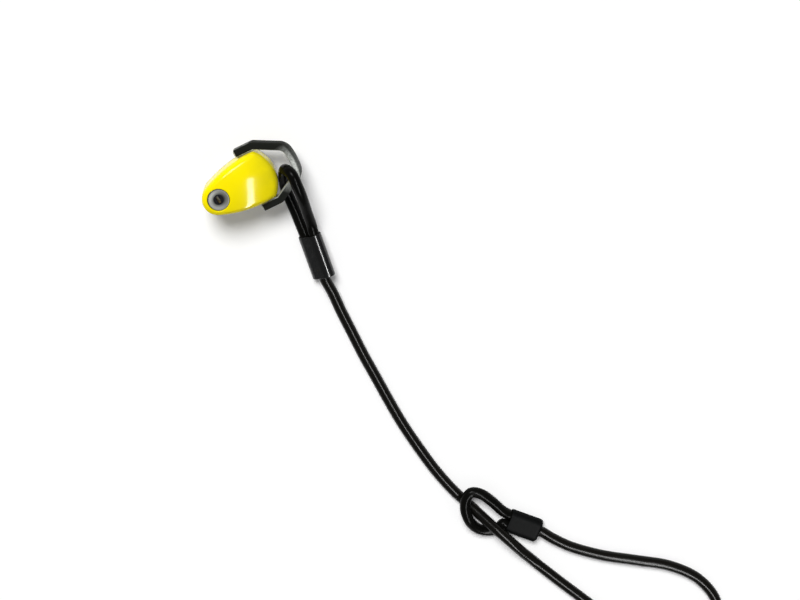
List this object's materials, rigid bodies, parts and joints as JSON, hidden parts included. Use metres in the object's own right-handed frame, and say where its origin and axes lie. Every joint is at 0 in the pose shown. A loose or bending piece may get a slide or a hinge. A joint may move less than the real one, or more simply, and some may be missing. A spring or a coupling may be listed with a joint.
{
  "type": "disc brake lock",
  "caption": "Brake disc lock with a wedge-shaped yellow shell, a push-in key cylinder and locking pin, and a rear steel bracket that holds a noosed black security cable.",
  "frame": {"origin": "on the locking pin's axis, at the far jaw's outer face, on which the lock lies", "axes": "+X from the nose to the cable bracket, +Y across the lock, +Z along the pin towards the key"},
  "size_m": [0.2826, 0.7256, 0.0572],
  "materials": {
    "shell_paint": "glossy yellow paint on a zinc casting",
    "body_steel": "hardened cast steel, dull nickel plate",
    "bracket_steel": "bent steel bar with a dark greenish coat, worn bright at its back",
    "dark_steel": "black oxide steel",
    "face_steel": "turned and dished hardened steel",
    "barrel_alloy": "turned nickel-plated steel",
    "pin_steel": "ground hardened steel",
    "core_brass": "turned brass",
    "seal_rubber": "black nitrile",
    "cable_vinyl": "black vinyl cover over a steel rope",
    "shroud_vinyl": "glossy black vinyl",
    "ferrule_alloy": "pressed aluminium"
  },
  "bodies": {
    "lock_body": {"body_casting": "body_steel", "shell": "shell_paint", "shell_screws": "dark_steel", "cable_bracket": "bracket_steel", "bracket_rivets": "bracket_steel", "stop_screw": "dark_steel", "barrel_seal": "seal_rubber", "return_spring": "barrel_alloy", "lock_eye": "cable_vinyl", "cable_run": "cable_vinyl", "far_eye": "cable_vinyl", "lock_ferrule": "ferrule_alloy", "lock_shroud": "shroud_vinyl", "far_ferrule": "ferrule_alloy", "far_shroud": "shroud_vinyl"},
    "plunger": {"plunger_barrel": "barrel_alloy", "face_ring": "face_steel", "pin_carrier": "body_steel", "locking_pin": "pin_steel"},
    "plug": {"key_plug": "core_brass", "drill_guard": "dark_steel", "detainer_discs": "core_brass", "disc_spacers": "barrel_alloy", "sidebar": "barrel_alloy", "latch_cam": "body_steel"},
    "latch": {"latch_pawl": "pin_steel"}
  },
  "joints": [
    {"name": "plunger_slide", "type": "slide", "parent": "lock_body", "child": "plunger", "axis": [0, 0, 1], "range_m": [0, 0.011], "deforming": ["return_spring"]},
    {"name": "plug_turn", "type": "hinge", "parent": "plunger", "child": "plug", "pos_m": [0, 0, 0.043], "axis": [0, 0, 1], "range_deg": [0, 90]},
    {"name": "latch_slide", "type": "slide", "parent": "plunger", "child": "latch", "axis": [1, 0, 0], "range_m": [0, 0.0025]}
  ],
  "couplings": [
    {"joint": "latch_slide", "follows": "plug_turn", "m_per_rad": 0.0015915}
  ]
}
